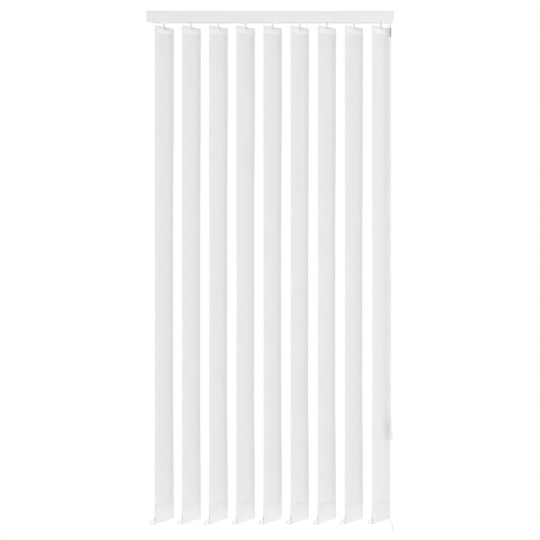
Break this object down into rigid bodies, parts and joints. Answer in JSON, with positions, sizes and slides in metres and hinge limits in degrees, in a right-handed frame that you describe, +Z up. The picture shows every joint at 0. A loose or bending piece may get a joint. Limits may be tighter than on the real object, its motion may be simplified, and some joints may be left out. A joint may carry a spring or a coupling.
{
  "type": "vertical blind",
  "caption": "Corded vertical blind with hanging cloth vanes on a slotted headrail; the vanes tilt together on a bead chain and draw aside on a cord.",
  "frame": {"origin": "centre of the four bracket screw holes, on the wall plane at the backs of the brackets", "axes": "+X along the rail towards the control end, +Y into the wall, +Z up; the room side faces -Y"},
  "size_m": [1.0587, 0.1594, 2.2336],
  "materials": {
    "vane_cloth": "fine plain-weave polyester vane cloth, matt",
    "rail_aluminium": "white powder-coated aluminium extrusion, satin",
    "moulding": "white moulded plastic, fine satin texture",
    "clear_moulding": "natural acetal, slightly milky, satin",
    "insert_moulding": "white moulded plastic, satin",
    "weight_moulding": "white moulded plastic, soft gloss",
    "joiner": "mid grey moulded plastic, satin",
    "cord": "white braided polyester cord",
    "bead_chain": "white plastic beads on a thread, soft gloss",
    "rod_aluminium": "bare extruded aluminium, drawn along its length",
    "bracket_steel": "white painted folded steel, satin"
  },
  "bodies": {
    "root": {"headrail": "rail_aluminium", "control_housing": "moulding", "idle_end_cap": "moulding", "rail_cord": "cord", "hanging_cord": "cord", "control_chain": "bead_chain", "cord_weight": "weight_moulding", "cord_joiner": "joiner", "wall_brackets": "bracket_steel", "rail_clips": "clear_moulding", "carrier_1": "clear_moulding"},
    "tilt_rod": {"tilt_rod": "rod_aluminium", "chain_wheel": "clear_moulding"},
    "idle_pulley": {"idle_pulley": "clear_moulding"},
    "carrier_2": {"carrier_2": "clear_moulding"},
    "carrier_3": {"carrier_3": "clear_moulding"},
    "carrier_4": {"carrier_4": "clear_moulding"},
    "carrier_5": {"carrier_5": "clear_moulding"},
    "carrier_6": {"carrier_6": "clear_moulding"},
    "carrier_7": {"carrier_7": "clear_moulding"},
    "carrier_8": {"carrier_8": "clear_moulding"},
    "carrier_9": {"carrier_9": "clear_moulding"},
    "worm_1": {"worm_1": "clear_moulding"},
    "vane_1": {"stem_1": "clear_moulding", "vane_inserts_1": "insert_moulding", "vane_1": "vane_cloth"},
    "worm_2": {"worm_2": "clear_moulding"},
    "vane_2": {"stem_2": "clear_moulding", "vane_inserts_2": "insert_moulding", "vane_2": "vane_cloth"},
    "worm_3": {"worm_3": "clear_moulding"},
    "vane_3": {"stem_3": "clear_moulding", "vane_inserts_3": "insert_moulding", "vane_3": "vane_cloth"},
    "worm_4": {"worm_4": "clear_moulding"},
    "vane_4": {"stem_4": "clear_moulding", "vane_inserts_4": "insert_moulding", "vane_4": "vane_cloth"},
    "worm_5": {"worm_5": "clear_moulding"},
    "vane_5": {"stem_5": "clear_moulding", "vane_inserts_5": "insert_moulding", "vane_5": "vane_cloth"},
    "worm_6": {"worm_6": "clear_moulding"},
    "vane_6": {"stem_6": "clear_moulding", "vane_inserts_6": "insert_moulding", "vane_6": "vane_cloth"},
    "worm_7": {"worm_7": "clear_moulding"},
    "vane_7": {"stem_7": "clear_moulding", "vane_inserts_7": "insert_moulding", "vane_7": "vane_cloth"},
    "worm_8": {"worm_8": "clear_moulding"},
    "vane_8": {"stem_8": "clear_moulding", "vane_inserts_8": "insert_moulding", "vane_8": "vane_cloth"},
    "worm_9": {"worm_9": "clear_moulding"},
    "vane_9": {"stem_9": "clear_moulding", "vane_inserts_9": "insert_moulding", "vane_9": "vane_cloth"}
  },
  "joints": [
    {"name": "carrier_9_slide", "type": "slide", "parent": "root", "child": "carrier_9", "axis": [-1, 0, 0], "range_m": [0, 0.74]},
    {"name": "carrier_2_slide", "type": "slide", "parent": "root", "child": "carrier_2", "axis": [-1, 0, 0], "range_m": [0, 0.0925]},
    {"name": "carrier_3_slide", "type": "slide", "parent": "root", "child": "carrier_3", "axis": [-1, 0, 0], "range_m": [0, 0.185]},
    {"name": "carrier_4_slide", "type": "slide", "parent": "root", "child": "carrier_4", "axis": [-1, 0, 0], "range_m": [0, 0.2775]},
    {"name": "carrier_5_slide", "type": "slide", "parent": "root", "child": "carrier_5", "axis": [-1, 0, 0], "range_m": [0, 0.37]},
    {"name": "carrier_6_slide", "type": "slide", "parent": "root", "child": "carrier_6", "axis": [-1, 0, 0], "range_m": [0, 0.4625]},
    {"name": "carrier_7_slide", "type": "slide", "parent": "root", "child": "carrier_7", "axis": [-1, 0, 0], "range_m": [0, 0.555]},
    {"name": "carrier_8_slide", "type": "slide", "parent": "root", "child": "carrier_8", "axis": [-1, 0, 0], "range_m": [0, 0.6475]},
    {"name": "vane_1_tilt", "type": "hinge", "parent": "root", "child": "vane_1", "pos_m": [-0.4542, -0.08, -0.05], "axis": [0, 0, 1], "range_deg": [-25, 106]},
    {"name": "vane_2_tilt", "type": "hinge", "parent": "carrier_2", "child": "vane_2", "pos_m": [-0.3377, -0.08, -0.05], "axis": [0, 0, 1], "range_deg": [-25, 106]},
    {"name": "vane_3_tilt", "type": "hinge", "parent": "carrier_3", "child": "vane_3", "pos_m": [-0.2212, -0.08, -0.05], "axis": [0, 0, 1], "range_deg": [-25, 106]},
    {"name": "vane_4_tilt", "type": "hinge", "parent": "carrier_4", "child": "vane_4", "pos_m": [-0.1047, -0.08, -0.05], "axis": [0, 0, 1], "range_deg": [-25, 106]},
    {"name": "vane_5_tilt", "type": "hinge", "parent": "carrier_5", "child": "vane_5", "pos_m": [0.0118, -0.08, -0.05], "axis": [0, 0, 1], "range_deg": [-25, 106]},
    {"name": "vane_6_tilt", "type": "hinge", "parent": "carrier_6", "child": "vane_6", "pos_m": [0.1283, -0.08, -0.05], "axis": [0, 0, 1], "range_deg": [-25, 106]},
    {"name": "vane_7_tilt", "type": "hinge", "parent": "carrier_7", "child": "vane_7", "pos_m": [0.2448, -0.08, -0.05], "axis": [0, 0, 1], "range_deg": [-25, 106]},
    {"name": "vane_8_tilt", "type": "hinge", "parent": "carrier_8", "child": "vane_8", "pos_m": [0.3613, -0.08, -0.05], "axis": [0, 0, 1], "range_deg": [-25, 106]},
    {"name": "vane_9_tilt", "type": "hinge", "parent": "carrier_9", "child": "vane_9", "pos_m": [0.4778, -0.08, -0.05], "axis": [0, 0, 1], "range_deg": [-25, 106]},
    {"name": "worm_1_turn", "type": "hinge", "parent": "root", "child": "worm_1", "pos_m": [-0.4542, -0.0889, -0.0024], "axis": [1, 0, 0], "range_deg": [-954, 225]},
    {"name": "worm_2_turn", "type": "hinge", "parent": "carrier_2", "child": "worm_2", "pos_m": [-0.3377, -0.0889, -0.0024], "axis": [1, 0, 0], "range_deg": [-954, 225]},
    {"name": "worm_3_turn", "type": "hinge", "parent": "carrier_3", "child": "worm_3", "pos_m": [-0.2212, -0.0889, -0.0024], "axis": [1, 0, 0], "range_deg": [-954, 225]},
    {"name": "worm_4_turn", "type": "hinge", "parent": "carrier_4", "child": "worm_4", "pos_m": [-0.1047, -0.0889, -0.0024], "axis": [1, 0, 0], "range_deg": [-954, 225]},
    {"name": "worm_5_turn", "type": "hinge", "parent": "carrier_5", "child": "worm_5", "pos_m": [0.0118, -0.0889, -0.0024], "axis": [1, 0, 0], "range_deg": [-954, 225]},
    {"name": "worm_6_turn", "type": "hinge", "parent": "carrier_6", "child": "worm_6", "pos_m": [0.1283, -0.0889, -0.0024], "axis": [1, 0, 0], "range_deg": [-954, 225]},
    {"name": "worm_7_turn", "type": "hinge", "parent": "carrier_7", "child": "worm_7", "pos_m": [0.2448, -0.0889, -0.0024], "axis": [1, 0, 0], "range_deg": [-954, 225]},
    {"name": "worm_8_turn", "type": "hinge", "parent": "carrier_8", "child": "worm_8", "pos_m": [0.3613, -0.0889, -0.0024], "axis": [1, 0, 0], "range_deg": [-954, 225]},
    {"name": "worm_9_turn", "type": "hinge", "parent": "carrier_9", "child": "worm_9", "pos_m": [0.4778, -0.0889, -0.0024], "axis": [1, 0, 0], "range_deg": [-954, 225]},
    {"name": "tilt_rod_turn", "type": "hinge", "parent": "root", "child": "tilt_rod", "pos_m": [0, -0.0889, -0.0024], "axis": [1, 0, 0], "range_deg": [-954, 225]},
    {"name": "idle_pulley_turn", "type": "hinge", "parent": "root", "child": "idle_pulley", "pos_m": [-0.515, -0.0735, -0.0034], "axis": [0, 1, 0], "continuous": true}
  ],
  "couplings": [
    {"joint": "carrier_2_slide", "follows": "carrier_9_slide", "ratio": 0.125},
    {"joint": "carrier_3_slide", "follows": "carrier_9_slide", "ratio": 0.25},
    {"joint": "carrier_4_slide", "follows": "carrier_9_slide", "ratio": 0.375},
    {"joint": "carrier_5_slide", "follows": "carrier_9_slide", "ratio": 0.5},
    {"joint": "carrier_6_slide", "follows": "carrier_9_slide", "ratio": 0.625},
    {"joint": "carrier_7_slide", "follows": "carrier_9_slide", "ratio": 0.75},
    {"joint": "carrier_8_slide", "follows": "carrier_9_slide", "ratio": 0.875},
    {"joint": "vane_2_tilt", "follows": "vane_1_tilt", "ratio": 1},
    {"joint": "vane_3_tilt", "follows": "vane_1_tilt", "ratio": 1},
    {"joint": "vane_4_tilt", "follows": "vane_1_tilt", "ratio": 1},
    {"joint": "vane_5_tilt", "follows": "vane_1_tilt", "ratio": 1},
    {"joint": "vane_6_tilt", "follows": "vane_1_tilt", "ratio": 1},
    {"joint": "vane_7_tilt", "follows": "vane_1_tilt", "ratio": 1},
    {"joint": "vane_8_tilt", "follows": "vane_1_tilt", "ratio": 1},
    {"joint": "vane_9_tilt", "follows": "vane_1_tilt", "ratio": 1},
    {"joint": "worm_1_turn", "follows": "vane_1_tilt", "ratio": -9},
    {"joint": "worm_2_turn", "follows": "vane_1_tilt", "ratio": -9},
    {"joint": "worm_3_turn", "follows": "vane_1_tilt", "ratio": -9},
    {"joint": "worm_4_turn", "follows": "vane_1_tilt", "ratio": -9},
    {"joint": "worm_5_turn", "follows": "vane_1_tilt", "ratio": -9},
    {"joint": "worm_6_turn", "follows": "vane_1_tilt", "ratio": -9},
    {"joint": "worm_7_turn", "follows": "vane_1_tilt", "ratio": -9},
    {"joint": "worm_8_turn", "follows": "vane_1_tilt", "ratio": -9},
    {"joint": "worm_9_turn", "follows": "vane_1_tilt", "ratio": -9},
    {"joint": "tilt_rod_turn", "follows": "vane_1_tilt", "ratio": -9},
    {"joint": "idle_pulley_turn", "follows": "carrier_9_slide", "rad_per_m": -125}
  ]
}
